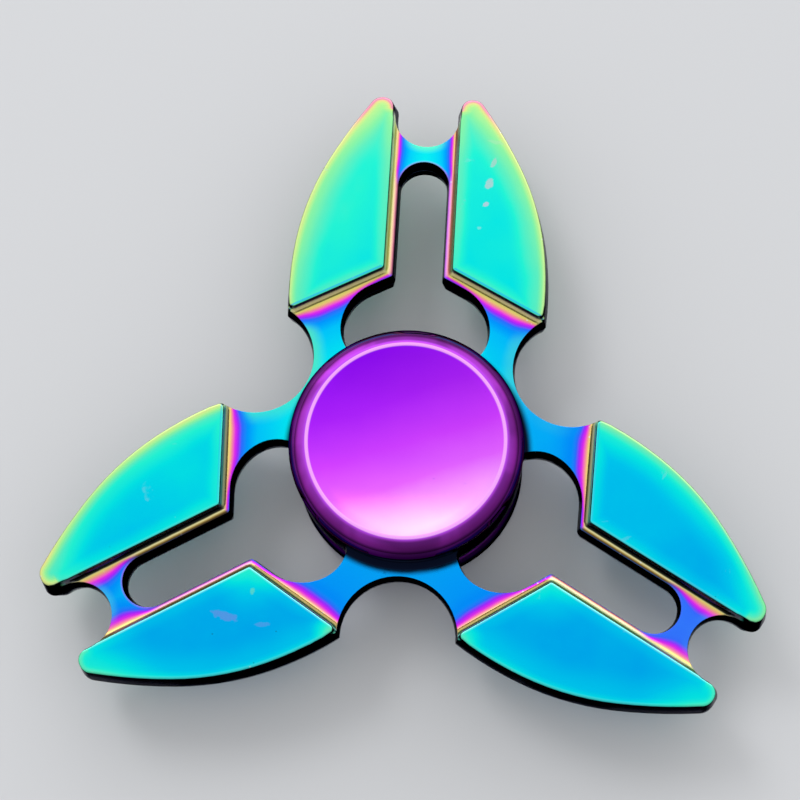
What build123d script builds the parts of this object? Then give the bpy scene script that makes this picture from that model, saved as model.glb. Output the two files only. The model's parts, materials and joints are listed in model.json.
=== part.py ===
from build123d import *
import math
import os

os.makedirs("parts", exist_ok=True)

# Fidget spinner, three crab-claw arms, R188 bearing, finger caps both sides.
# Millimetres. Spin axis = Z through the origin; z = 0 is the mid plane of the
# body casting; claw 1 points along +Y, the others at 120 degrees.

# ---------------------------------------------------------------- dimensions
N_CLAWS = 3

# body casting, heights from the mid plane
BLADE_H = 3.00          # top of the raised claw blades
WEB_H = 1.75            # top of the sunk web between and under the blades
DRAFT_OUT = 0.40        # walls lean out this much from blade top to mid plane
DRAFT_DEG = math.degrees(math.atan(DRAFT_OUT / BLADE_H))
WEB_OUT = DRAFT_OUT * WEB_H / BLADE_H
COVE_R = 1.00           # concave foot of the blade walls
EDGE_R = 0.24           # rounded rim of the blade tops

# blade outline at the blade top, right-hand blade of the claw along +Y
BLADE_IN_X = 3.51       # straight inner edge, half the gap between blades
BLADE_HEEL = (3.51, 19.08)
BLADE_ELBOW = (12.93, 14.16)
BLADE_TIP = (4.80, 36.70)
TIP_R = 1.29
TIP_IN_R = 1.10         # rounding of the tip on the jaw side
SIDE_HEADING = -0.08866081          # radians from +Y, towards the inside
SIDE_ARCS = ((34.33070, 7.43310612), (27.83209, 9.44419773), (51.48500, 8.0))
HEEL_R = 0.43
ELBOW_SETBACK = 0.10
ELBOW_LEAN_DEG = 7.6

# web outline at the web top
SLOT_HALF = 2.65        # finger slot between the blades
SLOT_END_Y = 28.65      # centre of its round end
SLOT_HEEL_Y = 18.60
EYE_X = 4.90            # where the slanted edge turns into the round eye
EYE_R1 = 5.10
EYE_R2 = 4.00
EYE_END_DEG = -130.0
EYE_CORNER_R = 0.80
HUB_R = 11.30           # hub disc inside the eyes
WAIST_R = 5.93          # round notch between two claws
WAIST_D = 18.53         # its centre from the axis
JAW_R = 3.42            # U notch between the blade tips
JAW_Y = 36.42

# hub boss and bearing seat
BOSS_R = 11.00
SEAT_R = 6.35
SEAT_HALF = 2.39        # the outer ring sits between the lip and the caulked edge
LIP_R = 5.85
SEAT_CHAMFER = 0.30

# bearing R188 ZZ, 1/4 x 1/2 x 3/16 inch
BRG_OD_R = 6.35
BRG_ID_R = 3.175
BRG_HALF = 2.381
BALL_R = 1.00
N_BALLS = 10
PITCH_R = 4.7625
GROOVE_R = 1.04
RACE_GAP = 0.010        # between a ball and the bottom of each groove
OUT_LAND_R = 5.43
IN_LAND_R = 4.10
BRG_CHAMFER = 0.20
SHIELD_SEAT_R = 5.76
SHIELD_SEAT_Z = 1.62
SHIELD_T = 0.18
SHIELD_IN_R = 4.20
SNAP_GROOVE_R = 5.95
SNAP_T = 0.22
SNAP_IN_R = 5.50
CAGE_IN_R = 4.30
CAGE_OUT_R = 5.24
CAGE_HALF = 1.28
POCKET_R = 1.05

# finger caps
CAP_R = 11.60           # widest edge
CAP_EDGE_Z = 5.40       # height of that edge
CAP_CREST_R = 9.73      # rim ring that the dish ends at
CAP_CREST_Z = 6.85
CAP_CREST_FLAT = 0.30   # width of the polished flat on the rim
CAP_UNDER_Z = 3.55      # flat underside
CAP_DISH_Z = 5.15       # bottom of the dish
CAP_COLLAR_R = 3.95     # collar that bears on the inner ring
BARREL_R = 3.16
BARREL_END = 2.10
STUD_R = 2.00
STUD_HOLE_R = 2.05
STUD_END = -1.60
STUD_HOLE_END = -2.20


# ---------------------------------------------------------------- 2D outlines
def blade_side(bx, by):
    """Outer side of the right-hand blade and its round tip, at the blade top:
    a chain of tangent arcs from the elbow to the crown of the tip."""
    x, y, th = bx, by, SIDE_HEADING
    arcs = []
    for n, (r, length) in enumerate(SIDE_ARCS):
        cx, cy = x - r * math.cos(th), y - r * math.sin(th)
        if n < len(SIDE_ARCS) - 1:
            th2 = th + length / r
        else:
            # the last arc runs on until it touches the tip circle
            th2 = math.atan2(BLADE_TIP[1] - cy, BLADE_TIP[0] - cx)
            r = math.hypot(x - cx, y - cy)
        mid, end = ((cx + r * math.cos(t), cy + r * math.sin(t)) for t in ((th + th2) / 2, th2))
        arcs.append(((x, y), mid, end))
        (x, y), th = end, th2
    r = math.hypot(x - BLADE_TIP[0], y - BLADE_TIP[1])
    crown = (BLADE_TIP[0], BLADE_TIP[1] + r)
    t = (th + math.pi / 2) / 2
    arcs.append(((x, y), (BLADE_TIP[0] + r * math.cos(t), BLADE_TIP[1] + r * math.sin(t)), crown))
    return arcs


def mirrored(points):
    return [(-x, y) for x, y in points]


def claw_outline():
    """Whole claw at the blade top: both blade sides, closed over the jaws and
    down to the hub."""
    arcs = blade_side(*BLADE_ELBOW)
    foot = (BLADE_ELBOW[0] + math.sin(SIDE_HEADING) * 2.0, BLADE_ELBOW[1] - math.cos(SIDE_HEADING) * 2.0)
    knee = (11.5, 8.0)
    edges = [Line((0, 0), knee), Line(knee, foot), Line(foot, BLADE_ELBOW)]
    edges += [ThreePointArc(*a) for a in arcs]
    crown = arcs[-1][2]
    edges.append(Line(crown, (-crown[0], crown[1])))
    edges += [ThreePointArc(*mirrored(reversed(a))) for a in reversed(arcs)]
    edges += [Line(*mirrored((BLADE_ELBOW, foot))), Line(*mirrored((foot, knee))), Line(*mirrored((knee, (0, 0))))]
    return make_face(edges)


SLANT = math.atan2(BLADE_ELBOW[1] - BLADE_HEEL[1], BLADE_ELBOW[0] - BLADE_HEEL[0])


def turn(start, r, a0, a1):
    """Middle and end of an arc turning right from heading a0 to a1."""
    return [(start[0] + r * (math.sin(a0) - math.sin(a)), start[1] - r * (math.cos(a0) - math.cos(a)))
            for a in ((a0 + a1) / 2, a1)]


def eye_outline():
    """Finger slot with its wide eye at the hub end, at the web top."""
    top, side, heel = (0, SLOT_END_Y + SLOT_HALF), (SLOT_HALF, SLOT_END_Y), (SLOT_HALF, SLOT_HEEL_Y)
    s = (EYE_X, SLOT_HEEL_Y + math.tan(SLANT) * (EYE_X - SLOT_HALF))
    end = math.radians(EYE_END_DEG)
    m1, e1 = turn(s, EYE_R1, SLANT, -math.pi / 2)
    m2, e2 = turn(e1, EYE_R2, -math.pi / 2, end)
    dx, dy = math.cos(end), math.sin(end)
    b = e2[0] * dx + e2[1] * dy
    t = -b - math.sqrt(b * b - (e2[0] ** 2 + e2[1] ** 2 - HUB_R ** 2))
    h = (e2[0] + t * dx, e2[1] + t * dy)
    right = [(side, heel), (heel, s), (s, m1, e1), (e1, m2, e2), (e2, h)]
    edges = [ThreePointArc((-SLOT_HALF, SLOT_END_Y), top, side), ThreePointArc(h, (0, HUB_R), (-h[0], h[1]))]
    for seg in right + [tuple(mirrored(reversed(q))) for q in right]:
        edges.append(Line(*seg) if len(seg) == 2 else ThreePointArc(*seg))
    face = make_face(edges)
    corners = [v for v in face.vertices() if abs(math.hypot(v.X, v.Y) - HUB_R) < 1e-3]
    face = fillet(corners, EYE_CORNER_R)
    return fillet([v for v in face.vertices() if abs(abs(v.X) - SLOT_HALF) < 1e-3 and abs(v.Y - SLOT_HEEL_Y) < 1e-3], 0.3)


def field_outline():
    """Raised blade field at the blade top: straight inner edge, slanted lower
    edge and rounded elbow; on the outside it runs past the casting and is
    trimmed by it."""
    elbow = (BLADE_ELBOW[0] - ELBOW_SETBACK, BLADE_ELBOW[1] - ELBOW_SETBACK * math.tan(SLANT))
    lean = math.tan(math.radians(ELBOW_LEAN_DEG))
    pts = [BLADE_HEEL, (BLADE_IN_X, 41.0), (8.0, 41.0), (15.6, 28.0), (elbow[0] + (24.0 - elbow[1]) * lean, 24.0), elbow]
    face = make_face(Polyline(*pts, close=True))
    return fillet([v for v in face.vertices() if math.dist((v.X, v.Y), BLADE_HEEL) < 1e-3 or math.dist((v.X, v.Y), elbow) < 1e-3],
                  HEEL_R)


def around(shape, n=N_CLAWS):
    return [Rot(0, 0, 360 / n * k) * shape for k in range(n)]


def tapered_tool(face_at_web, depth=0.5, top=3.6):
    """Cutter for a drafted opening, its size given at the web top."""
    k = DRAFT_OUT / BLADE_H
    low = offset(face_at_web, -k * (WEB_H + depth), kind=Kind.ARC)
    return Pos(0, 0, -depth) * extrude(low, amount=top + depth, taper=-DRAFT_DEG)


# ---------------------------------------------------------------- body casting
claw_mid = offset(claw_outline(), DRAFT_OUT, kind=Kind.ARC)
claw = extrude(claw_mid, amount=BLADE_H + 0.6, taper=DRAFT_DEG)
print("claw", claw.is_valid, round(claw.volume, 1))
eye = tapered_tool(eye_outline())
print("eye", eye.is_valid, round(eye.volume, 1))
jaw_face = Pos(0, JAW_Y) * Circle(JAW_R) + Pos(0, JAW_Y + 4) * Rectangle(2 * JAW_R, 8)
jaw = tapered_tool(jaw_face)
print("jaw", jaw.is_valid, round(jaw.volume, 1))
k = DRAFT_OUT / BLADE_H
waist = Rot(0, 0, 30) * (Pos(WAIST_D, 0, -0.5) * Cone(WAIST_R - k * (WEB_H + 0.5), WAIST_R + k * (3.6 - WEB_H), 4.1,
                                                      align=(Align.CENTER, Align.CENTER, Align.MIN)))
outer = Cylinder(13.3, BLADE_H + 0.6, align=(Align.CENTER, Align.CENTER, Align.MIN))
for c in around(claw):
    outer = outer + c
for tool in around(eye) + around(jaw) + around(waist):
    outer = outer - tool
print("outer", outer.is_valid, round(outer.volume, 1), len(outer.solids()))

# stepped slab: web level, raised blade fields and the hub boss
slab = Pos(0, 0, -1) * Cylinder(45, WEB_H + 1, align=(Align.CENTER, Align.CENTER, Align.MIN))
sunk = BLADE_H - WEB_H + 0.5
field = Pos(0, 0, BLADE_H - sunk) * extrude(offset(field_outline(), k * sunk, kind=Kind.ARC), amount=sunk, taper=DRAFT_DEG)
for f in around(field) + around(mirror(field, about=Plane.YZ)):
    slab = slab + f
slab = slab + Cone(BOSS_R + 0.3, BOSS_R, BLADE_H, align=(Align.CENTER, Align.CENTER, Align.MIN))
print("slab", slab.is_valid, round(slab.volume, 1), len(slab.faces()))
foot = [e for e in slab.edges() if all(abs(v.Z - WEB_H) < 1e-4 for v in e.vertices()) and abs(e.center().Z - WEB_H) < 1e-4
        and math.hypot((e @ 0.5).X, (e @ 0.5).Y) < 44]
print("foot edges", len(foot))
slab = fillet(foot, COVE_R)
print("slab coved", slab.is_valid, round(slab.volume, 1))
half = slab & outer
print("half", half.is_valid, round(half.volume, 1), len(half.solids()), len(half.faces()))


def sharp_tips(solid):
    """The upright edges where the jaw walls meet the crown of each blade tip."""
    found = []
    for e in solid.edges():
        a, b, m = e @ 0, e @ 1, e @ 0.5
        along = max(math.cos(math.radians(90 + 120 * n)) * m.X + math.sin(math.radians(90 + 120 * n)) * m.Y
                    for n in range(N_CLAWS))
        if along > BLADE_TIP[1] + 1.0 and abs(a.Z - b.Z) > 0.9 * BLADE_H:
            off = math.sqrt(max(0.0, m.X ** 2 + m.Y ** 2 - along ** 2))
            if off < BLADE_TIP[0] - 0.5:
                found.append(e)
    return found


tips = sharp_tips(half)
print("tip edges", len(tips))
half = fillet(tips, TIP_IN_R)
print("tips", half.is_valid, round(half.volume, 1))


def rim_groups(solid):
    """Top rim edges of the half casting, one list for each blade and the boss."""
    groups = {}
    for e in solid.edges():
        m = e @ 0.5
        if any(abs(v.Z - BLADE_H) > 1e-4 for v in e.vertices()) or abs(m.Z - BLADE_H) > 1e-4:
            continue
        if math.hypot(m.X, m.Y) < 12:
            groups.setdefault("boss", []).append(e)
            continue
        a = (math.degrees(math.atan2(m.Y, m.X)) - 90) % 360
        n = round(a / 120) % 3
        side = (a - 120 * n + 180) % 360 - 180
        groups.setdefault((n, side > 0), []).append(e)
    return groups


for key in sorted(rim_groups(half), key=str):
    for r in (EDGE_R, EDGE_R - 0.02, EDGE_R - 0.04, EDGE_R - 0.06, EDGE_R - 0.08, EDGE_R + 0.02):
        try:
            rounded = fillet(rim_groups(half)[key], r)
        except ValueError:
            continue
        if rounded.is_valid:
            half = rounded
            print("rim", key, "radius", round(r, 3))
            break
    else:
        print("rim", key, "left sharp")
print("half rounded", half.is_valid, round(half.volume, 1))

body = half + mirror(half, about=Plane.XY)
# bearing seat: open from above, a lip below, a caulked edge above
body = body - Cylinder(LIP_R, 2 * BLADE_H + 1)
body = body - Pos(0, 0, -SEAT_HALF) * Cylinder(SEAT_R, BLADE_H + SEAT_HALF + 1, align=(Align.CENTER, Align.CENTER, Align.MIN))
body = body - Pos(0, 0, BLADE_H - SEAT_CHAMFER) * Cone(SEAT_R, SEAT_R + SEAT_CHAMFER + 0.2, SEAT_CHAMFER + 0.2,
                                                       align=(Align.CENTER, Align.CENTER, Align.MIN))
print("body", body.is_valid, round(body.volume, 1), len(body.solids()), len(body.faces()))


# ---------------------------------------------------------------- turned parts
def turned(points, arcs=()):
    """Solid of revolution about Z from (r, z) points; arcs maps the index of a
    segment's start to a point it passes through."""
    arcs = dict(arcs)
    edges = []
    n = len(points)
    for i in range(n):
        a, b = points[i], points[(i + 1) % n]
        if i in arcs:
            edges.append(ThreePointArc((a[0], 0, a[1]), (arcs[i][0], 0, arcs[i][1]), (b[0], 0, b[1])))
        else:
            edges.append(Line((a[0], 0, a[1]), (b[0], 0, b[1])))
    return revolve(make_face(edges), axis=Axis.Z)


def ring(r0, r1, z0, z1):
    return turned([(r0, z0), (r1, z0), (r1, z1), (r0, z1)])


# outer ring: raceway, shield seats and snap ring grooves
og_c = PITCH_R + BALL_R + RACE_GAP - GROOVE_R       # centre of the outer groove arc
og_z = math.sqrt(GROOVE_R ** 2 - (OUT_LAND_R - og_c) ** 2)
ig_c = PITCH_R - BALL_R - RACE_GAP + GROOVE_R
ig_z = math.sqrt(GROOVE_R ** 2 - (ig_c - IN_LAND_R) ** 2)
c = BRG_CHAMFER
outer_half = [(OUT_LAND_R, og_z), (OUT_LAND_R, SHIELD_SEAT_Z), (SHIELD_SEAT_R, SHIELD_SEAT_Z),
              (SHIELD_SEAT_R, SHIELD_SEAT_Z + SHIELD_T), (SNAP_GROOVE_R, SHIELD_SEAT_Z + SHIELD_T),
              (SNAP_GROOVE_R, SHIELD_SEAT_Z + SHIELD_T + SNAP_T + 0.04), (SHIELD_SEAT_R, SHIELD_SEAT_Z + SHIELD_T + SNAP_T + 0.04),
              (SHIELD_SEAT_R, BRG_HALF - 0.08), (SHIELD_SEAT_R + 0.08, BRG_HALF), (BRG_OD_R - c, BRG_HALF), (BRG_OD_R, BRG_HALF - c)]
pts = outer_half + [(r, -z) for r, z in reversed(outer_half)]
bearing_outer_ring = turned(pts, {len(pts) - 1: (og_c + GROOVE_R, 0)})
inner_half = [(IN_LAND_R, ig_z), (IN_LAND_R, BRG_HALF - 0.10), (IN_LAND_R - 0.10, BRG_HALF),
              (BRG_ID_R + c, BRG_HALF), (BRG_ID_R, BRG_HALF - c)]
pts = inner_half + [(r, -z) for r, z in reversed(inner_half)]
bearing_inner_ring = turned(pts, {len(pts) - 1: (ig_c - GROOVE_R, 0)})

ball = Sphere(BALL_R)
bearing_cage = ring(CAGE_IN_R, CAGE_OUT_R, -CAGE_HALF, CAGE_HALF)
for n in range(N_BALLS):
    bearing_cage = bearing_cage - Rot(0, 0, 360 / N_BALLS * n) * (Pos(PITCH_R, 0, 0) * Rot(0, 90, 0) * Cylinder(POCKET_R, 3))

shield_top = ring(SHIELD_IN_R, SHIELD_SEAT_R - 0.02, SHIELD_SEAT_Z, SHIELD_SEAT_Z + SHIELD_T)
z0 = SHIELD_SEAT_Z + SHIELD_T + 0.02
snap_top = ring(SNAP_IN_R, SNAP_GROOVE_R - 0.03, z0, z0 + SNAP_T)
snap_top = snap_top - Pos(5.7, 0, z0) * Box(2, 0.9, 2)

# finger caps: dished button, collar on the inner ring, stud above and
# barrel below that screw together through the bore
DISH_R = ((CAP_CREST_R - CAP_CREST_FLAT / 2) ** 2 + (CAP_CREST_Z - CAP_DISH_Z) ** 2) / (2 * (CAP_CREST_Z - CAP_DISH_Z))
crest_in = (CAP_CREST_R - CAP_CREST_FLAT / 2, CAP_CREST_Z)
crest_out = (CAP_CREST_R + CAP_CREST_FLAT / 2, CAP_CREST_Z)
dish_mid_r = crest_in[0] / 2
dish_mid = (dish_mid_r, CAP_DISH_Z + DISH_R - math.sqrt(DISH_R ** 2 - dish_mid_r ** 2))
sh_mid = ((crest_out[0] + CAP_R) / 2 + 0.16, (CAP_CREST_Z + CAP_EDGE_Z) / 2 + 0.20)
un_mid = (CAP_R - 0.17, (CAP_EDGE_Z + CAP_UNDER_Z + 0.25) / 2 - 0.05)


def button(inner_points):
    """Cap profile from the dish centre outwards; inner_points close it on the axis side."""
    pts = [(0, CAP_DISH_Z), crest_in, crest_out, (CAP_R, CAP_EDGE_Z), (CAP_R - 0.75, CAP_UNDER_Z + 0.12),
           (CAP_R - 0.95, CAP_UNDER_Z), (CAP_COLLAR_R + 0.4, CAP_UNDER_Z), (CAP_COLLAR_R, CAP_UNDER_Z - 0.4),
           (CAP_COLLAR_R, BRG_HALF)] + inner_points
    return turned(pts, {0: dish_mid, 2: sh_mid, 3: un_mid})


top_finger_cap = button([(STUD_R, BRG_HALF), (STUD_R, STUD_END + 0.3), (STUD_R - 0.3, STUD_END), (0, STUD_END)])
lower = button([(BARREL_R, BRG_HALF), (BARREL_R, -BARREL_END + 0.2), (BARREL_R - 0.2, -BARREL_END),
                (STUD_HOLE_R + 0.15, -BARREL_END), (STUD_HOLE_R, -BARREL_END + 0.15), (STUD_HOLE_R, -STUD_HOLE_END), (0, -STUD_HOLE_END)])
bottom_finger_cap = mirror(lower, about=Plane.XY)

parts = {
    "spinner_body": body,
    "bearing_outer_ring": bearing_outer_ring,
    "bearing_inner_ring": bearing_inner_ring,
    "bearing_cage": bearing_cage,
    "bearing_shield_top": shield_top,
    "bearing_shield_bottom": mirror(shield_top, about=Plane.XY),
    "shield_snap_ring_top": snap_top,
    "shield_snap_ring_bottom": mirror(snap_top, about=Plane.XY),
    "top_finger_cap": top_finger_cap,
    "bottom_finger_cap": bottom_finger_cap,
}
for n in range(N_BALLS):
    parts["bearing_ball_%02d" % (n + 1)] = Rot(0, 0, 360 / N_BALLS * n) * Pos(PITCH_R, 0, 0) * ball

for name, shape in parts.items():
    solids = shape.solids()
    assert len(solids) == 1, (name, len(solids))
    export_step(solids[0], "parts/%s.step" % name)
    bb = solids[0].bounding_box()
    print("%-26s valid=%s vol=%.1f  z %.2f..%.2f" % (name, solids[0].is_valid, solids[0].volume, bb.min.Z, bb.max.Z))
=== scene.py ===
import json
import math

import bpy
from mathutils import Matrix, Vector


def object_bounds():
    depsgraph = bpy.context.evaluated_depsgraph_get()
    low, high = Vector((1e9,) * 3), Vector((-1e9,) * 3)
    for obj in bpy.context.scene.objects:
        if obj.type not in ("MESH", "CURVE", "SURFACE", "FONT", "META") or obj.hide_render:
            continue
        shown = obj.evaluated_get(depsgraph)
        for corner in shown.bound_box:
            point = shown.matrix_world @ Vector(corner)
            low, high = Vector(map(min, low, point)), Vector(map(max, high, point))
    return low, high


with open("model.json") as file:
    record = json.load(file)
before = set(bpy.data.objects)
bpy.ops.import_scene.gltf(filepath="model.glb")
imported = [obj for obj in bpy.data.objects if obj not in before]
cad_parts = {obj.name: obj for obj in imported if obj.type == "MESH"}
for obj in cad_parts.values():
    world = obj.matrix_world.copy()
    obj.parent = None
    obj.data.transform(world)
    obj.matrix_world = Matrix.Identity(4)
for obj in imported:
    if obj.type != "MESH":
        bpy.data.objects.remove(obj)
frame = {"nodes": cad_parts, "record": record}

CAD_BOX = [[float(c) for c in p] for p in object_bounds()]
NODES = frame["nodes"]

# ------------------------------------------------------------------ dimensions
# millimetres, as in the CAD: spin axis at x = y = 0, claws at 90, 210, 330 degrees
BLADE_H = 3.00
WEB_H = 1.75
HEEL = (3.51, 19.08)
SLANT_N = (0.46296, 0.88638)          # into the blade, from its slanted lower edge
SIDE = (((-21.2659, 17.1998), 34.3307), ((-14.8203, 18.0284), 27.8321), ((-35.9386, 7.3758), 51.4850))
SIDE_Y = (21.577, 30.563)
TIP = ((4.80, 36.70), 1.29)


RUBS = (
    (6.85, 28.60, 0.62, 0.42, 50, 0.70, (186, 196, 204)),
    (7.20, 30.95, 0.60, 0.24, 65, 0.55, (190, 190, 196)),
    (6.60, 26.30, 0.34, 0.26, 40, 0.70, (196, 190, 214)),
    (6.05, 23.70, 0.22, 0.18, 0, 0.50, (150, 220, 220)),
    (7.30, 33.30, 0.80, 0.22, -12, 0.40, (176, 226, 184)),
    (-16.75, -17.60, 1.50, 0.40, -14, 0.50, (112, 132, 222)),
    (-13.05, -18.20, 0.80, 0.22, 4, 0.35, (110, 140, 226)),
    (-14.30, -15.00, 0.24, 0.34, 0, 0.45, (120, 220, 170)),
    (21.5, -8.2, 0.90, 0.20, 32, 0.25, (120, 190, 224)),
)


# ------------------------------------------------------------------ node helper
class Graph:
    """Builds shader maths from plain numbers and sockets."""

    def __init__(self, name):
        self.mat = bpy.data.materials.new(name)
        self.mat.use_nodes = True
        self.tree = self.mat.node_tree
        self.tree.nodes.clear()
        self.out = self.node("ShaderNodeOutputMaterial")

    def node(self, kind, **props):
        n = self.tree.nodes.new(kind)
        for k, v in props.items():
            setattr(n, k, v)
        return n

    def link(self, a, b):
        self.tree.links.new(a, b)

    def put(self, socket, value):
        if isinstance(value, bpy.types.NodeSocket):
            self.link(value, socket)
        elif value is not None:
            socket.default_value = value

    def m(self, op, a, b=None, c=None, clamp=False):
        n = self.node("ShaderNodeMath", operation=op, use_clamp=clamp)
        for i, v in enumerate((a, b, c)):
            if v is not None:
                self.put(n.inputs[i], v)
        return n.outputs[0]

    def add(self, a, b): return self.m("ADD", a, b)
    def sub(self, a, b): return self.m("SUBTRACT", a, b)
    def mul(self, a, b): return self.m("MULTIPLY", a, b)
    def div(self, a, b): return self.m("DIVIDE", a, b)
    def mn(self, a, b): return self.m("MINIMUM", a, b)
    def mx(self, a, b): return self.m("MAXIMUM", a, b)
    def absv(self, a): return self.m("ABSOLUTE", a)
    def less(self, a, b): return self.m("LESS_THAN", a, b)
    def hyp(self, a, b): return self.m("SQRT", self.add(self.mul(a, a), self.mul(b, b)))

    def lerp(self, f, a, b):
        """a where f is 0, b where f is 1."""
        n = self.node("ShaderNodeMix", data_type="FLOAT")
        self.put(n.inputs[0], f)
        self.put(n.inputs[2], a)
        self.put(n.inputs[3], b)
        return n.outputs[0]

    def step(self, x, lo, hi, a=0.0, b=1.0):
        """Smooth step of x from lo to hi, mapped to a..b."""
        n = self.node("ShaderNodeMapRange", interpolation_type="SMOOTHSTEP")
        self.put(n.inputs[0], x)
        for i, v in enumerate((lo, hi, a, b)):
            self.put(n.inputs[i + 1], v)
        return n.outputs[0]

    def ramp(self, x, stops, interpolation="LINEAR"):
        n = self.node("ShaderNodeValToRGB")
        cr = n.color_ramp
        cr.interpolation = interpolation
        while len(cr.elements) < len(stops):
            cr.elements.new(0.5)
        for e, (p, c) in zip(cr.elements, stops):
            e.position = p
            e.color = (*c, 1.0)
        self.put(n.inputs[0], x)
        return n.outputs[0]

    def mix(self, f, a, b, blend="MIX"):
        n = self.node("ShaderNodeMix", data_type="RGBA", blend_type=blend)
        self.put(n.inputs[0], f)
        self.put(n.inputs[6], a if isinstance(a, bpy.types.NodeSocket) else (*a, 1.0))
        self.put(n.inputs[7], b if isinstance(b, bpy.types.NodeSocket) else (*b, 1.0))
        return n.outputs[2]

    def noise(self, vec, scale, detail=2.0, rough=0.5, distortion=0.0):
        n = self.node("ShaderNodeTexNoise")
        self.put(n.inputs["Vector"], vec)
        n.inputs["Scale"].default_value = scale
        n.inputs["Detail"].default_value = detail
        n.inputs["Roughness"].default_value = rough
        n.inputs["Distortion"].default_value = distortion
        return n.outputs[0]

    def cells(self, vec, scale, feature="F1", randomness=1.0):
        n = self.node("ShaderNodeTexVoronoi", feature=feature)
        self.put(n.inputs["Vector"], vec)
        n.inputs["Scale"].default_value = scale
        n.inputs["Randomness"].default_value = randomness
        return n

    def bump(self, height, strength, distance, normal=None):
        n = self.node("ShaderNodeBump")
        n.inputs["Strength"].default_value = strength
        n.inputs["Distance"].default_value = distance
        self.put(n.inputs["Height"], height)
        if normal is not None:
            self.link(normal, n.inputs["Normal"])
        return n.outputs[0]

    def metal(self, color, rough, normal=None, **extra):
        p = self.node("ShaderNodeBsdfPrincipled")
        self.put(p.inputs["Base Color"], color if isinstance(color, bpy.types.NodeSocket) else (*color, 1.0))
        p.inputs["Metallic"].default_value = 1.0
        self.put(p.inputs["Roughness"], rough)
        if normal is not None:
            self.link(normal, p.inputs["Normal"])
        for k, v in extra.items():
            self.put(p.inputs[k.replace("_", " ")], v)
        self.link(p.outputs[0], self.out.inputs[0])
        return p

    def position(self):
        """Object coordinates in millimetres: the vector and x, y, z."""
        tc = self.node("ShaderNodeTexCoord")
        s = self.node("ShaderNodeVectorMath", operation="SCALE")
        self.link(tc.outputs["Object"], s.inputs[0])
        s.inputs["Scale"].default_value = 1000.0
        sep = self.node("ShaderNodeSeparateXYZ")
        self.link(s.outputs[0], sep.inputs[0])
        return (s.outputs[0], *sep.outputs)

    def facing(self):
        """How far the face is from upright, 0 on a wall and 1 on a level face."""
        g = self.node("ShaderNodeNewGeometry")
        sep = self.node("ShaderNodeSeparateXYZ")
        self.link(g.outputs["Normal"], sep.inputs[0])
        return self.absv(sep.outputs[2])

    def side_normal(self):
        """x and y of the surface normal in the object's own frame."""
        tc = self.node("ShaderNodeTexCoord")
        sep = self.node("ShaderNodeSeparateXYZ")
        self.link(tc.outputs["Normal"], sep.inputs[0])
        return sep.outputs[0], sep.outputs[1]


def srgb(r, g, b):
    """Linear colour from 0..255 sRGB."""
    def f(c):
        c /= 255.0
        return c / 12.92 if c <= 0.04045 else ((c + 0.055) / 1.055) ** 2.4
    return (f(r), f(g), f(b))


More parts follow.
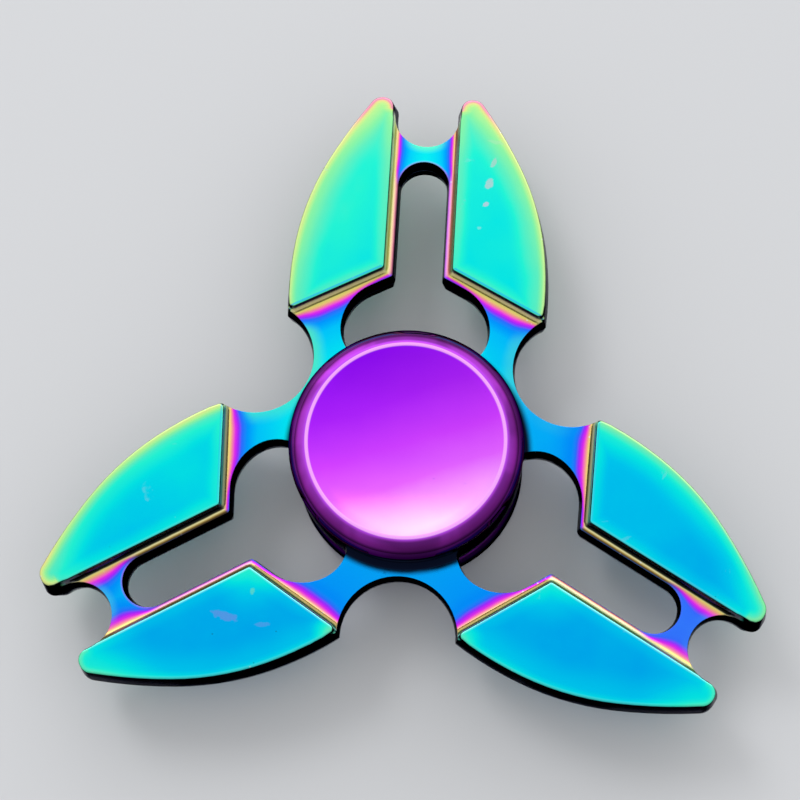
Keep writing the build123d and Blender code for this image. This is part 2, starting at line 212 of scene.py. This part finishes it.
# ------------------------------------------------------------------ rainbow film on the casting
def rainbow_zinc():
    g = Graph("rainbow_zinc")
    vec, x, y, z = g.position()
    az = g.absv(z)
    nz = g.facing()
    nx, ny = g.side_normal()

    # fold the three claws and their two halves on to one
    phi = g.m("WRAP", g.m("ARCTAN2", x, y), math.pi / 3, -math.pi / 3)
    r = g.hyp(x, y)
    lx = g.mul(r, g.m("SINE", phi))
    ly = g.mul(r, g.m("COSINE", phi))
    ax = g.absv(lx)
    # the long walls by the slot face +y on the lower half of a near claw, -y on its upper half
    faces = g.mul(g.m("SIGN", lx), g.m("SINE", g.sub(g.m("ARCTAN2", x, y), phi)))
    lower = g.step(faces, 0.3, 0.6)
    upper = g.step(faces, -0.3, -0.6)

    # distances from the blade's edges, positive inside its outline
    d1 = g.sub(ax, HEEL[0])
    d2 = g.add(g.mul(g.sub(ax, HEEL[0]), SLANT_N[0]), g.mul(g.sub(ly, HEEL[1]), SLANT_N[1]))
    arcs = [g.sub(rr, g.hyp(g.sub(ax, c[0]), g.sub(ly, c[1]))) for c, rr in SIDE]
    d3 = g.lerp(g.less(ly, SIDE_Y[1]), arcs[2], g.lerp(g.less(ly, SIDE_Y[0]), arcs[1], arcs[0]))
    below = g.sub(TIP[0][1], ly)
    aside = g.sub(ax, TIP[0][0])
    past = g.mx(g.mx(g.add(g.mul(aside, 0.584), g.mul(below, 0.812)), below), 0.0)
    d4 = g.add(g.sub(TIP[1], g.hyp(aside, below)), g.mul(past, 2.5))
    inner = g.mn(d1, d2)
    outer = g.mn(d3, d4)

    # slow drift of the film thickness over the casting
    drift = g.sub(g.noise(vec, 0.11, 2.0), 0.5)
    fine = g.sub(g.noise(vec, 0.9, 3.0, 0.6), 0.5)

    # ---- blade tops: blue in the field, turquoise, green, then yellow at the rim
    # painted sheen: bluer towards the near right, greener towards the far left, standing in for the film's colour
    # change with viewing angle
    view_hue_shift = g.add(g.mul(x, -0.0028), g.mul(y, 0.0075))
    field = g.add(g.add(0.385, view_hue_shift), g.add(g.mul(drift, 0.22), g.mul(fine, 0.035)))
    field = g.sub(field, g.mul(lower, g.step(x, 6.0, -6.0, 0.0, 0.085)))
    side_in = g.step(g.add(outer, g.mul(fine, 0.5)), 0.0, 3.6, 0.36, 0.0)
    side_near = g.mul(g.step(outer, 0.02, g.lerp(upper, 0.9, 1.3), 0.24, 0.0), g.lerp(upper, 1.0, g.lerp(g.step(x, -6.0, 6.0), 2.3, 1.5)))
    heel_in = g.step(g.add(inner, g.mul(fine, 0.3)), 0.1, 1.7, 0.22, 0.0)
    grow = g.step(y, -26.0, 24.0, 0.55, 1.0)
    near_claw = g.mn(g.sub(2.2, g.mul(grow, 2.2)), 1.0)
    tipped = g.mul(g.step(ly, 30.0, 38.0, 0.0, 0.175), g.sub(1.85, g.mul(grow, 1.05)))
    at_tip = g.step(ly, TIP[0][1] - 3.6, TIP[0][1] + 0.4)
    tipped = g.add(tipped, g.mul(g.step(outer, 0.62, 0.05, 0.0, 0.11), at_tip))
    rim_u = g.mul(g.mul(g.add(g.mx(side_in, heel_in), side_near), grow), g.lerp(lower, 1.0, 0.85))
    # greener at the corners of the lower halves
    apex = g.step(g.hyp(g.sub(ax, HEEL[0]), g.sub(ly, HEEL[1])), 5.0, 0.3, 0.0, 0.30)
    corner = g.mul(g.step(g.hyp(g.mx(inner, 0.0), g.mx(outer, 0.0)), 2.4, 0.2, 0.0, 0.45), g.step(ly, 32.0, 27.0))
    corners = g.mul(g.add(apex, corner), g.mul(lower, g.lerp(g.step(x, -6.0, 6.0), 1.0, 0.6)))
    top_u = g.add(g.add(g.add(field, rim_u), tipped), corners)
    top_u = g.mn(g.mx(g.div(top_u, 1.45), 0.0), 1.0)
    top_c = g.ramp(top_u, [
        (0.00, srgb(0, 140, 234)),
        (0.12, srgb(0, 166, 235)),
        (0.24, srgb(0, 196, 236)),
        (0.34, srgb(4, 226, 226)),
        (0.44, srgb(34, 240, 210)),
        (0.55, srgb(92, 236, 190)),
        (0.66, srgb(136, 240, 164)),
        (0.77, srgb(186, 242, 148)),
        (0.87, srgb(226, 232, 144)),
        (0.94, srgb(240, 196, 158)),
        (1.00, srgb(236, 150, 176)),
    ])
    # painted highlight: a thin pale line on the rims; blue above the slanted walls of the far claw
    pale = g.mul(g.mul(g.step(outer, 0.34, 0.10), g.sub(1.0, at_tip)), g.lerp(near_claw, 1.0, 0.55))
    top_c = g.mix(g.mul(pale, g.lerp(upper, 0.55, 0.80)), top_c, g.mix(lower, srgb(210, 242, 160), srgb(110, 234, 214)))
    # painted highlight: a pale aqua line on the inner rims, mostly on the lower halves
    aqua_rim_highlight = g.mul(g.step(inner, 0.34, 0.08), g.mx(lower, g.mul(upper, 0.25)))
    top_c = g.mix(g.mul(aqua_rim_highlight, 0.75), top_c, srgb(150, 250, 238))
    rimline = g.mul(g.mul(g.step(g.absv(g.sub(inner, 0.22)), 0.14, 0.03), g.less(d2, d1)), g.sub(1.0, near_claw))
    top_c = g.mix(g.mul(rimline, 0.7), top_c, srgb(20, 170, 240))
    # faint stains where the film is rubbed
    stain = g.noise(vec, 0.33, 4.0, 0.62, 0.6)
    stain = g.mul(g.step(stain, 0.665, 0.71), g.step(g.noise(vec, 1.6, 2.0), 0.40, 0.60))
    top_c = g.mix(g.mul(stain, 0.22), top_c, srgb(150, 190, 206))
    # rub marks, listed: x, y, half length, half width, turn, strength, colour
    rub = 0.0
    edge_noise = g.mul(g.sub(g.noise(vec, 1.7, 3.0, 0.6), 0.5), 1.6)
    for mx_, my_, rl, rw, turn, amount, col in RUBS:
        ca, sa = math.cos(math.radians(turn)), math.sin(math.radians(turn))
        px, py = g.sub(x, mx_), g.sub(y, my_)
        u = g.div(g.add(g.mul(px, ca), g.mul(py, sa)), rl)
        v = g.div(g.sub(g.mul(py, ca), g.mul(px, sa)), rw)
        spot = g.mul(g.step(g.add(g.hyp(u, v), edge_noise), 1.15, 0.75), g.step(z, 2.6, 2.8))
        top_c = g.mix(g.mul(spot, amount), top_c, srgb(*col))
        rub = g.mx(rub, g.mul(spot, amount))

    # ---- step from the blade down to the web, by the way along its profile:
    # step from the blade down to the web, by the way along its profile:
    #      dark under the rim, grey gold, a dark line, then yellow, pink, magenta, violet, azure; film colour bands,
    #      with the dark bands painted shade where the step reflects dark
    way = g.add(g.mul(inner, -1.0), g.sub(BLADE_H, az))
    way = g.add(way, g.mul(fine, 0.08))
    way0 = way
    on_slant = g.step(g.sub(d1, d2), -0.25, 0.25)
    mid = g.mul(g.step(ax, 3.8, 8.0), g.lerp(grow, 1.15, g.step(ax, 13.4, 9.6)))
    in_mouth = g.lerp(g.step(ly, 28.6, 32.6), 0.46, g.lerp(g.sub(g.mul(grow, 2.0), 1.0), 1.45, 0.64))
    spread = g.lerp(on_slant, in_mouth, g.add(0.52, g.mul(mid, 0.62)))
    way = g.add(g.mn(way, 1.30), g.div(g.mx(g.sub(way, 1.30), 0.0), spread))
    way = g.add(way, g.mul(g.lerp(near_claw, 0.10, 0.26), g.step(way, 1.30, 1.42)))
    web_c = g.ramp(g.mn(g.mx(g.div(way, 7.0), 0.0), 1.0), [
        (0.000, srgb(232, 226, 116)),
        (0.225, srgb(236, 228, 124)),
        (0.262, srgb(246, 220, 126)),
        (0.284, srgb(246, 184, 134)),
        (0.304, srgb(242, 146, 158)),
        (0.322, srgb(242, 108, 190)),
        (0.346, srgb(222, 44, 232)),
        (0.386, srgb(150, 44, 252)),
        (0.424, srgb(44, 106, 252)),
        (0.490, srgb(2, 148, 252)),
        (0.620, srgb(2, 194, 248)),
        (1.000, srgb(4, 226, 240)),
    ])

    def profile(stops):
        return g.ramp(g.mn(g.mx(g.div(way0, 2.4), 0.0), 1.0), [(w / 2.4, srgb(*c)) for w, c in stops])

    # the upper part of the step under the slanted edges: far claw, upper and lower half of a near claw; each facing
    # gets its own copy, with painted shade in the dark bands and painted highlight in the pale bands
    s_far = profile([(0.10, (16, 34, 44)), (0.46, (20, 36, 42)), (0.62, (150, 146, 100)), (0.80, (250, 240, 176)), (1.16, (250, 240, 164)),
                     (1.28, (190, 184, 96)), (1.42, (190, 184, 96)), (1.60, (236, 228, 124))])
    s_up = profile([(0.10, (60, 200, 190)), (0.36, (62, 184, 178)), (0.62, (60, 160, 154)), (0.82, (120, 174, 146)), (0.98, (184, 204, 156)),
                    (1.20, (184, 188, 140)), (1.42, (178, 164, 104)), (1.60, (206, 190, 108))])
    s_low = profile([(0.10, (150, 250, 238)), (0.36, (120, 206, 192)), (0.66, (60, 130, 104)), (0.90, (40, 92, 66)), (1.08, (64, 100, 62)),
                     (1.18, (158, 154, 96)), (1.30, (210, 190, 120)), (1.48, (248, 222, 140))])
    upper_part = g.mix(upper, g.mix(lower, s_far, s_low), s_up)
    web_c = g.mix(g.step(way0, 1.62, 1.42), web_c, upper_part)

    # the whole step along the slot, cut short by the slot's edge; film colours with painted light, one copy per facing
    # and side, the dark upper-half copy being painted shade
    l_far_left = profile([(0.05, (84, 170, 122)), (0.20, (80, 178, 118)), (0.40, (132, 200, 136)), (0.60, (184, 230, 162)), (0.88, (212, 234, 146)),
                          (1.06, (176, 188, 86)), (1.20, (204, 208, 112)), (1.32, (238, 234, 146)), (1.50, (253, 236, 170)), (1.66, (253, 212, 176)),
                          (1.80, (242, 176, 170)), (1.90, (214, 139, 151)), (1.98, (166, 92, 120)), (2.10, (96, 42, 70))])
    l_far_right = profile([(0.05, (140, 212, 158)), (0.34, (138, 206, 150)), (0.60, (106, 158, 108)), (0.82, (104, 130, 84)), (1.00, (118, 114, 80)),
                           (1.15, (146, 110, 84)), (1.34, (178, 110, 92)), (1.46, (202, 118, 108)), (1.62, (242, 154, 170)), (1.74, (252, 166, 216)),
                           (1.86, (242, 156, 239)), (1.95, (218, 132, 234)), (2.04, (166, 84, 196)), (2.14, (92, 28, 122))])
    l_low_left = profile([(0.05, (153, 240, 215)), (0.30, (140, 208, 168)), (0.66, (98, 142, 98)), (0.98, (64, 84, 42)), (1.20, (78, 74, 36)),
                          (1.36, (128, 104, 74)), (1.48, (186, 144, 126)), (1.60, (228, 172, 172)), (1.70, (245, 172, 200)), (1.80, (228, 142, 200)),
                          (1.88, (190, 106, 180)), (1.97, (130, 60, 136)), (2.10, (70, 18, 86))])
    l_low_right = profile([(0.05, (150, 246, 232)), (0.30, (110, 206, 170)), (0.66, (50, 130, 96)), (0.96, (32, 96, 48)), (1.14, (90, 136, 82)),
                           (1.30, (182, 206, 150)), (1.44, (236, 240, 188)), (1.60, (250, 230, 182)), (1.72, (248, 210, 170)), (1.82, (232, 178, 150)),
                           (1.90, (196, 132, 116)), (1.98, (146, 80, 78)), (2.10, (84, 30, 40))])
    l_up = profile([(0.05, (20, 34, 58)), (0.50, (50, 40, 72)), (0.86, (66, 66, 76)), (1.10, (40, 36, 44)), (1.34, (36, 36, 30)), (1.44, (140, 140, 96)),
                    (1.53, (236, 230, 172)), (1.62, (246, 234, 170)), (1.70, (216, 194, 122)), (1.80, (170, 146, 82)), (1.88, (122, 98, 50)),
                    (1.98, (74, 58, 32)), (2.10, (58, 42, 26))])
    left = g.step(x, 0.5, -0.5)
    along = g.mix(left, l_far_right, l_far_left)
    along = g.mix(lower, along, g.mix(left, l_low_right, l_low_left))
    along = g.mix(upper, along, l_up)
    by_slot = g.mul(g.sub(1.0, on_slant), g.step(ly, 30.4, 28.4))
    in_jaw = g.mul(g.sub(1.0, on_slant), g.step(way0, 1.62, 1.42))
    web_c = g.mix(in_jaw, web_c, along)
    web_c = g.mix(by_slot, web_c, along)
    # edges of the web: violet along the slot, pale green in the jaw, green towards the waists
    slot = g.sub(g.hyp(lx, g.mx(g.sub(ly, 28.65), 0.0)), 2.65)
    slot_rim = g.mul(g.mul(g.step(g.absv(slot), 0.22, 0.02), g.step(ly, 18.4, 19.4)), g.sub(1.0, by_slot))
    web_c = g.mix(g.mul(slot_rim, 0.65), web_c, srgb(176, 84, 246))
    jaw = g.sub(g.hyp(lx, g.sub(ly, 36.42)), 3.42)
    jaw_rim = g.mul(g.mul(g.step(jaw, 0.85, 0.0), g.step(ax, 2.7, 0.5)), g.step(y, -22.0, 16.0, 0.30, 1.0))
    web_c = g.mix(g.mul(jaw_rim, 0.95), web_c, srgb(118, 250, 190))
    waist = g.sub(g.hyp(g.sub(ax, 16.047), g.sub(ly, 9.265)), 5.93)
    waist_rim = g.mul(g.step(g.add(waist, g.mul(fine, 0.4)), 1.5, 0.0), g.step(g.add(view_hue_shift, g.mul(drift, 0.3)), -0.06, 0.13, 0.05, 0.85))
    waist_rim = g.mul(waist_rim, g.step(way, 3.0, 4.2))
    web_c = g.mix(waist_rim, web_c, g.mix(g.step(y, 4.0, 14.0), srgb(70, 232, 204), srgb(92, 238, 180)))
    # painted sheen: the web turns bluer across the casting, as the blades do, standing in for the film's colour change
    # with viewing angle
    web_blue = g.mul(g.step(g.add(g.add(view_hue_shift, g.mul(x, -0.0028)), g.mul(drift, 0.2)), 0.09, -0.08), g.step(way, 2.9, 3.6))
    web_c = g.mix(g.mul(web_blue, 0.80), web_c, srgb(4, 136, 248))
    # the bridges near the tips: violet blue on one near claw, greener on the far one
    bridge = g.mul(g.step(ly, 28.0, 30.0), g.step(way, 2.5, 3.2))
    web_c = g.mix(g.mul(g.mul(bridge, g.step(x, 10.0, 18.0)), 0.75), web_c, srgb(58, 106, 254))
    web_c = g.mix(g.mul(g.mul(bridge, g.step(y, 22.0, 30.0)), g.step(ax, 2.6, 0.4, 0.0, 0.35)), web_c, srgb(14, 250, 236))
    # painted shade: a dark ring under the finger cap, where the cap shadows the web and is darkly reflected in it
    web_c = g.mix(g.step(r, 12.7, 11.9), web_c, srgb(10, 16, 34))

    in_step = g.mul(g.step(inner, 0.03, -0.03), g.step(az, 1.60, 1.72))
    in_step = g.mul(in_step, g.step(ly, 36.8, 36.0))
    # painted shade: the rim fillets by the step are painted nearly black, except on the lower halves and the slanted
    # upper halves
    rim_painted_shade = g.mul(g.step(nz, 0.90, 0.62), g.mul(g.step(inner, 0.32, 0.20), g.step(az, 2.2, 2.4)))
    rim_painted_shade = g.mul(rim_painted_shade, g.sub(1.0, g.mx(lower, g.mul(on_slant, upper))))
    top_c = g.mix(g.mul(rim_painted_shade, 0.9), top_c, srgb(14, 18, 22))
    color = g.mix(in_step, top_c, web_c)

    # ---- walls: painted shade, almost black with a faint random tint, standing in for the dark surroundings they reflect
    step_wall = g.mul(g.mul(g.step(inner, 0.14, 0.02), g.step(inner, -1.5, -1.3)), g.mul(g.step(az, 1.70, 1.80), g.step(ly, 36.8, 36.0)))
    wall = g.mul(g.step(nz, 0.66, 0.30), g.sub(1.0, step_wall))
    tint = g.noise(vec, 0.25, 2.0)
    wall_c = g.ramp(tint, [(0.30, srgb(16, 20, 32)), (0.45, srgb(26, 20, 44)), (0.58, srgb(14, 34, 38)), (0.72, srgb(36, 30, 26))])
    # painted highlight: a lighter line along the walls' parting edge, where it catches the light
    parting_glint = g.step(az, 0.10, 0.03)
    wall_c = g.mix(g.mul(parting_glint, 0.6), wall_c, srgb(120, 126, 140))
    color = g.mix(wall, color, wall_c)

    # painted highlights: bright sparkles on the sharpest rims
    sparkle_cells = g.cells(vec, 1.5)
    sparkle_band = g.mul(g.step(g.absv(g.sub(nz, 0.78)), 0.22, 0.08), g.sub(1.0, g.step(g.absv(g.sub(way, 1.0)), 0.9, 0.7)))
    sparkle_band = g.mul(sparkle_band, g.mx(g.step(outer, 0.6, 0.4), g.step(az, 2.0, 1.9)))
    sparkle_band = g.mul(sparkle_band, g.step(r, 14.0, 15.0))
    painted_sparkle = g.mul(g.mul(sparkle_band, g.step(sparkle_cells.outputs["Distance"], 0.20, 0.10)), g.step(g.noise(vec, 0.35, 1.0), 0.48, 0.56))
    color = g.mix(g.mul(painted_sparkle, 0.85), color, srgb(236, 240, 244))

    # pin holes and dust in the plating
    pits = g.cells(vec, 0.42)
    pit = g.mul(g.step(pits.outputs["Distance"], 0.045, 0.015), g.less(g.noise(vec, 0.3, 0.0), 0.48))
    color = g.mix(g.mul(pit, 0.6), color, srgb(24, 70, 76))

    rough = g.add(0.11, g.add(g.mul(g.noise(vec, 2.2, 4.0, 0.6), 0.06), g.mul(g.mx(stain, rub), 0.20)))
    rough = g.add(rough, g.mul(wall, 0.05))
    # faint orange peel and polishing marks, plus the pin holes
    height = g.add(g.mul(g.noise(vec, 0.8, 2.0), 0.5), g.mul(g.noise(vec, 9.0, 2.0), 0.05))
    soft = g.node("ShaderNodeBevel", samples=6)
    soft.inputs["Radius"].default_value = 0.00010
    n1 = g.bump(height, 0.22, 0.00002, soft.outputs[0])
    n2 = g.bump(g.mul(pit, -1.0), 0.5, 0.00003, n1)
    # painted shade: a dark specular tint on the walls darkens their reflections
    edge_tint = g.mix(wall, (1.0, 1.0, 1.0), (0.10, 0.10, 0.14))
    glossy_wall = g.mul(upper, g.sub(1.0, on_slant))
    satin = g.mul(g.mul(g.mul(step_wall, g.step(nz, g.lerp(lower, 0.86, 0.93), g.lerp(lower, 0.60, 0.76))), g.step(way0, 0.12, 0.32)), g.mul(g.sub(1.0, glossy_wall), 0.80))
    g.metal(color, rough, n2, Specular_Tint=edge_tint, Metallic=g.sub(1.0, satin))
    return g.mat


# ------------------------------------------------------------------ violet finger caps
def violet_cap():
    g = Graph("violet_cap")
    vec, x, y, z = g.position()
    az = g.absv(z)
    nz = g.facing()
    r = g.hyp(x, y)
    fine = g.sub(g.noise(vec, 0.5, 3.0, 0.5), 0.5)
    drift = g.sub(g.noise(vec, 0.09, 1.0), 0.5)
    # dish: painted reflection, violet on one side, through magenta, to a pale pink highlight on the other, with random
    # film tone
    dish_sheen_and_tone = g.add(g.add(g.mul(x, 0.018), g.mul(y, -0.052)), g.add(g.mul(drift, 0.14), g.mul(fine, 0.03)))
    dish_reflection = g.ramp(g.add(dish_sheen_and_tone, 0.5), [
        (0.00, srgb(146, 14, 250)),
        (0.25, srgb(172, 34, 252)),
        (0.50, srgb(204, 62, 254)),
        (0.70, srgb(222, 96, 254)),
        (0.84, srgb(238, 146, 252)),
        (1.00, srgb(246, 180, 250)),
    ])
    # painted highlight: a pale line on the crest of the cap
    crest_highlight = g.step(g.absv(g.sub(r, 9.73)), 0.24, 0.10)
    color = g.mix(crest_highlight, dish_reflection, srgb(246, 170, 254))
    # shoulder and rim: painted shade, darker the steeper they are, and painted reflection, lighter on the left and
    # darker top and bottom, patchy round the ring
    shoulder_shade = g.ramp(g.add(nz, g.mul(fine, 0.05)), [
        (0.00, srgb(26, 6, 38)),
        (0.35, srgb(44, 8, 70)),
        (0.62, srgb(92, 22, 116)),
        (0.82, srgb(150, 44, 168)),
        (0.93, srgb(172, 62, 206)),
        (1.00, srgb(190, 78, 246)),
    ])
    ux, uy = g.div(x, r), g.div(y, r)
    patch = g.step(g.add(g.noise(vec, 0.20, 2.0, 0.5, 0.4), g.mul(ux, 0.04)), 0.40, 0.60)
    ring_reflection = g.add(g.sub(0.86, g.mul(ux, 0.20)), g.mul(g.m("POWER", g.absv(uy), 4.0), -0.42))
    ring_reflection = g.mul(ring_reflection, g.lerp(patch, 1.12, 0.66))
    ring_reflection = g.lerp(g.step(r, 9.9, 10.3), 1.0, g.mn(g.mx(ring_reflection, 0.25), 1.0))
    shoulder_shade = g.mix(g.sub(1.0, ring_reflection), shoulder_shade, srgb(30, 8, 40))
    color = g.mix(g.step(r, 9.86, 9.98), color, shoulder_shade)
    pits = g.cells(vec, 0.36)
    pit = g.mul(g.step(pits.outputs["Distance"], 0.045, 0.015), g.less(g.noise(vec, 0.35, 0.0), 0.50))
    color = g.mix(g.mul(pit, 0.7), color, srgb(70, 10, 110))
    rough = g.add(0.045, g.mul(g.noise(vec, 1.8, 3.0), 0.05))
    n1 = g.bump(g.noise(vec, 0.7, 2.0), 0.10, 0.00002)
    n2 = g.bump(g.mul(pit, -1.0), 0.5, 0.00003, n1)
    # painted shade: a dark violet specular tint on the steep faces darkens their reflections
    edge_tint = g.mix(g.step(nz, 0.8, 0.4), (1.0, 0.9, 1.0), (0.16, 0.06, 0.22))
    g.metal(color, rough, n2, Specular_Tint=edge_tint)
    return g.mat


# ------------------------------------------------------------------ bearing steels
def turned_steel(name, base, rough0, rings):
    g = Graph(name)
    vec, x, y, z = g.position()
    r = g.hyp(x, y)
    n = g.node("ShaderNodeTexNoise", noise_dimensions="1D")
    g.put(n.inputs["W"], g.mul(g.add(r, z), rings))
    n.inputs["Scale"].default_value = 1.0
    n.inputs["Detail"].default_value = 3.0
    groove = n.outputs[0]
    blotch = g.noise(vec, 0.8, 3.0)
    color = g.mix(g.mul(blotch, 0.6), base, tuple(c * 0.72 for c in base))
    rough = g.add(rough0, g.mul(groove, 0.12))
    g.metal(color, rough, g.bump(groove, 0.3, 0.00001))
    return g.mat


MATS = {
    "rainbow_zinc": rainbow_zinc(),
    "violet_cap": violet_cap(),
    "bearing_steel": turned_steel("bearing_steel", srgb(190, 192, 196), 0.18, 22.0),
    "cage_steel": turned_steel("cage_steel", srgb(160, 160, 164), 0.30, 12.0),
    "shield_steel": turned_steel("shield_steel", srgb(204, 206, 208), 0.22, 30.0),
    "ball_steel": turned_steel("ball_steel", srgb(216, 218, 222), 0.06, 3.0),
}


# ------------------------------------------------------------------ smooth shading without touching the CAD meshes
def smoother(angle_deg):
    """Geometry nodes that join the seams between CAD faces and smooth every
    edge flatter than the angle."""
    t = bpy.data.node_groups.new("seam_smooth_%d" % angle_deg, "GeometryNodeTree")
    t.interface.new_socket(name="Geometry", in_out="INPUT", socket_type="NodeSocketGeometry")
    t.interface.new_socket(name="Geometry", in_out="OUTPUT", socket_type="NodeSocketGeometry")
    gi = t.nodes.new("NodeGroupInput")
    go = t.nodes.new("NodeGroupOutput")
    merge = t.nodes.new("GeometryNodeMergeByDistance")
    merge.inputs["Distance"].default_value = 2e-6
    face = t.nodes.new("GeometryNodeSetShadeSmooth")
    face.domain = "FACE"
    edge = t.nodes.new("GeometryNodeSetShadeSmooth")
    edge.domain = "EDGE"
    ang = t.nodes.new("GeometryNodeInputMeshEdgeAngle")
    cmp_ = t.nodes.new("FunctionNodeCompare")
    cmp_.data_type = "FLOAT"
    cmp_.operation = "LESS_THAN"
    cmp_.inputs["B"].default_value = math.radians(angle_deg)
    t.links.new(gi.outputs[0], merge.inputs[0])
    t.links.new(merge.outputs[0], face.inputs[0])
    face.inputs["Shade Smooth"].default_value = True
    t.links.new(face.outputs[0], edge.inputs[0])
    t.links.new(ang.outputs["Unsigned Angle"], cmp_.inputs["A"])
    t.links.new(cmp_.outputs[0], edge.inputs["Shade Smooth"])
    t.links.new(edge.outputs[0], go.inputs[0])
    return t


SMOOTH = smoother(24)

slots = {s["node"]: s["material_slot"] for s in frame["record"]["subparts"]}
for name, obj in NODES.items():
    obj.data.materials.clear()
    obj.data.materials.append(MATS[slots[name]])
    mod = obj.modifiers.new("seams", "NODES")
    mod.node_group = SMOOTH
    wn = obj.modifiers.new("normals", "WEIGHTED_NORMAL")
    wn.keep_sharp = True
    wn.weight = 50

# ------------------------------------------------------------------ floor
lowest = CAD_BOX[0][2]
floor_mesh = bpy.data.meshes.new("floor")
S = 3.0
floor_mesh.from_pydata([(-S, -S, lowest), (S, -S, lowest), (S, S, lowest), (-S, S, lowest)], [], [(0, 1, 2, 3)])
floor = bpy.data.objects.new("floor", floor_mesh)
bpy.context.scene.collection.objects.link(floor)
gf = Graph("pale_floor")
fp = gf.node("ShaderNodeBsdfPrincipled")
fp.inputs["Base Color"].default_value = (0.58, 0.59, 0.61, 1.0)
fp.inputs["Roughness"].default_value = 0.6
gf.link(fp.outputs[0], gf.out.inputs[0])
floor_mesh.materials.append(gf.mat)

# ------------------------------------------------------------------ light
# a soft white studio dome, brighter low down behind the object and dimmer in front
world = bpy.data.worlds.new("studio")
bpy.context.scene.world = world
world.use_nodes = True
wt = world.node_tree
bg = wt.nodes["Background"]
wc = wt.nodes.new("ShaderNodeTexCoord")
ws = wt.nodes.new("ShaderNodeSeparateXYZ")
wt.links.new(wc.outputs["Generated"], ws.inputs[0])
wm = wt.nodes.new("ShaderNodeMapRange")
wm.inputs["From Min"].default_value = -1.0
wm.inputs["From Max"].default_value = 1.0
wt.links.new(ws.outputs[1], wm.inputs[0])
wr = wt.nodes.new("ShaderNodeValToRGB")
wr.color_ramp.interpolation = "EASE"
dome = [(-1.0, 0.72), (-0.60, 0.76), (-0.20, 0.88), (0.05, 0.96), (0.30, 1.00), (0.52, 1.12), (0.74, 1.75), (1.0, 2.2)]
while len(wr.color_ramp.elements) < len(dome):
    wr.color_ramp.elements.new(0.5)
for e, (p, v) in zip(wr.color_ramp.elements, dome):
    e.position = (p + 1.0) / 2.0
    e.color = (v / 2.2, v / 2.2, v / 2.2, 1.0)
wt.links.new(wm.outputs[0], wr.inputs[0])
low = wt.nodes.new("ShaderNodeMapRange")
low.interpolation_type = "SMOOTHSTEP"
for i, v in enumerate((0.02, 0.34, 0.30, 1.0)):
    low.inputs[i + 1].default_value = v
wt.links.new(ws.outputs[2], low.inputs[0])
wx = wt.nodes.new("ShaderNodeMix")
wx.data_type = "RGBA"
wx.blend_type = "MULTIPLY"
wx.inputs[0].default_value = 1.0
wt.links.new(wr.outputs[0], wx.inputs[6])
wt.links.new(low.outputs[0], wx.inputs[7])
wt.links.new(wx.outputs[2], bg.inputs["Color"])
bg.inputs["Strength"].default_value = 2.2


def area(name, loc, target, size, power, color=(1, 1, 1)):
    d = bpy.data.lights.new(name, "AREA")
    d.shape = "DISK"
    d.size = size
    d.energy = power
    d.color = color
    o = bpy.data.objects.new(name, d)
    bpy.context.scene.collection.objects.link(o)
    o.location = loc
    o.rotation_euler = (Vector(target) - Vector(loc)).to_track_quat("-Z", "Y").to_euler()
    return o


key = area("key", (-0.45, 0.50, 0.75), (0, 0, 0), 0.35, 2.0)
key.visible_glossy = False

# ------------------------------------------------------------------ camera, a little above the near side
RIGHT = Vector((0.9972821, 0.0591635, -0.0439096))
DOWN = Vector((0.0451703, -0.9617985, -0.2700062))
FWD = Vector((-0.0582067, 0.2672889, -0.9618569))
cam_data = bpy.data.cameras.new("camera")
cam_data.sensor_fit = "HORIZONTAL"
cam_data.sensor_width = 36.0
cam_data.lens = 81.6426
cam_data.clip_start = 0.01
cam_data.clip_end = 20.0
cam = bpy.data.objects.new("camera", cam_data)
bpy.context.scene.collection.objects.link(cam)
rot = Matrix((RIGHT, -DOWN, -FWD)).transposed()
cam.matrix_world = Matrix.Translation(Vector((0.00957256, -0.04358713, 0.17484292 + BLADE_H / 1000))) @ rot.to_4x4()
bpy.context.scene.camera = cam
bpy.context.scene.view_settings.view_transform = "Standard"
